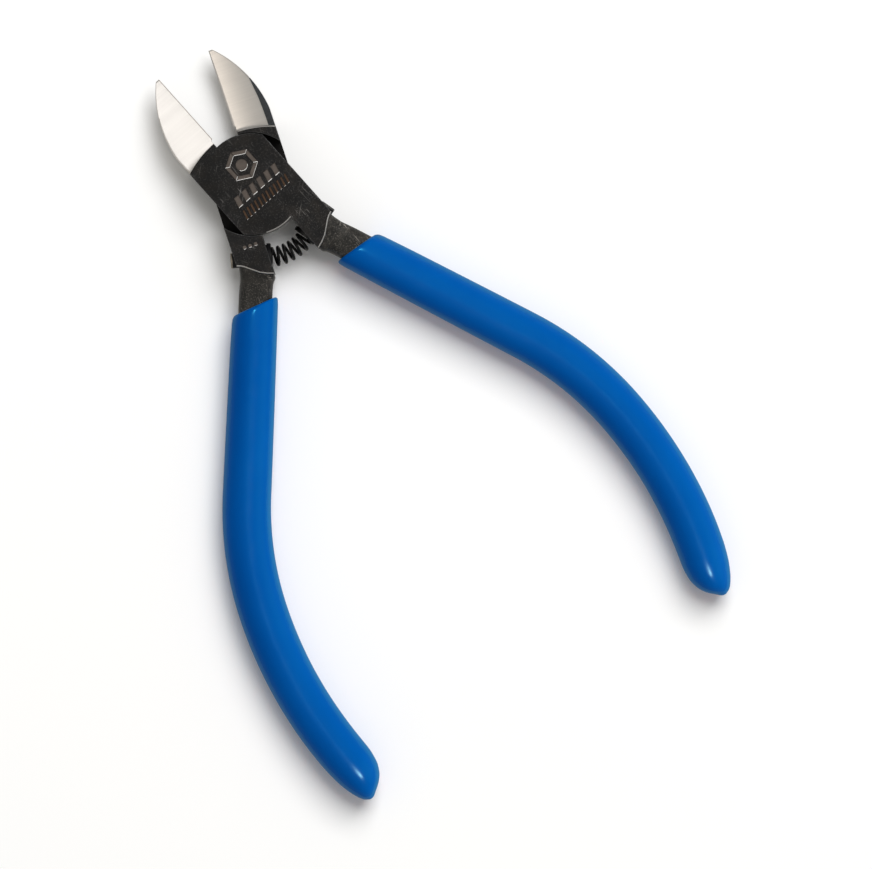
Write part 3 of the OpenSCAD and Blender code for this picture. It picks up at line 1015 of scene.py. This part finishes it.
def area_light(name, direction, distance, size, power, colour=(1, 1, 1), gloss=True, matt=True, only_on=()):
    """A square area light at a distance from the middle of the tool, facing it. gloss and matt say which
    reflections it makes, and only_on the pieces that it lights."""
    data = bpy.data.lights.new(name, "AREA")
    data.shape = "SQUARE"
    data.size = size
    data.energy = power
    data.color = colour
    lamp = bpy.data.objects.new(name, data)
    direction = Vector(direction).normalized()
    lamp.location = Vector(VIEW_CENTRE) + distance * direction
    lamp.rotation_euler = direction.to_track_quat("Z", "Y").to_euler()
    lamp.visible_glossy = gloss
    lamp.visible_diffuse = matt
    scene.collection.objects.link(lamp)
    lit = bpy.data.collections.new(name + "_lit")
    for piece in only_on:
        lit.objects.link(piece)
    lamp.light_linking.receiver_collection = lit


def towards(bearing, height):
    """Unit direction at a bearing from +X and a height above the floor, in degrees."""
    b, h = math.radians(bearing), math.radians(height)
    return math.cos(h) * math.cos(b), math.cos(h) * math.sin(b), math.sin(h)


floor = make_floor()
KEY_FROM = towards(35.7, 58)
area_light("key", KEY_FROM, 1.6, 1.05, 25.0, gloss=False, only_on=steel + [floor])
area_light("grip_key", KEY_FROM, 1.6, 1.05, 10.5, gloss=False, only_on=grips)
area_light("grip_fill", towards(-30, 32), 1.2, 0.8, 10.7, (0.7, 1.0, 0.77), gloss=False, only_on=grips)
area_light("ridge_glint", towards(0, 88), 0.9, 0.04, 0.16, matt=False, only_on=grips)
area_light("rim_glint", towards(93, 70), 0.9, 0.08, 7.0, matt=False, only_on=grips)
area_light("nose_glint", towards(-90, 66), 0.9, 0.17, 54.0, (1.0, 0.27, 0.22), matt=False, only_on=grips)
area_light("right_panel", towards(5, 47), 0.7, 0.5, 0.85, (1.0, 0.98, 0.97), matt=False, only_on=steel)
area_light("left_panel", towards(160, 66), 0.7, 0.36, 0.45, (1.0, 0.9, 0.8), matt=False, only_on=steel)

world = bpy.data.worlds.new("studio")
world.use_nodes = True
scene.world = world
background = world.node_tree.nodes["Background"]
background.inputs["Color"].default_value = WORLD_TONE
background.inputs["Strength"].default_value = WORLD_STRENGTH
scene.view_settings.view_transform = "Standard"

camera_data = bpy.data.cameras.new("camera")
camera_data.lens = SENSOR_WIDTH * CAMERA_HEIGHT / FRAME_WIDTH
camera_data.sensor_width = SENSOR_WIDTH
camera_data.clip_start = 0.05
camera = bpy.data.objects.new("camera", camera_data)
camera.location = Vector(VIEW_CENTRE) + Vector((0, 0, CAMERA_HEIGHT))
camera.rotation_euler = (0, 0, CAMERA_TURN)
scene.collection.objects.link(camera)
scene.camera = camera

bpy.context.view_layer.update()
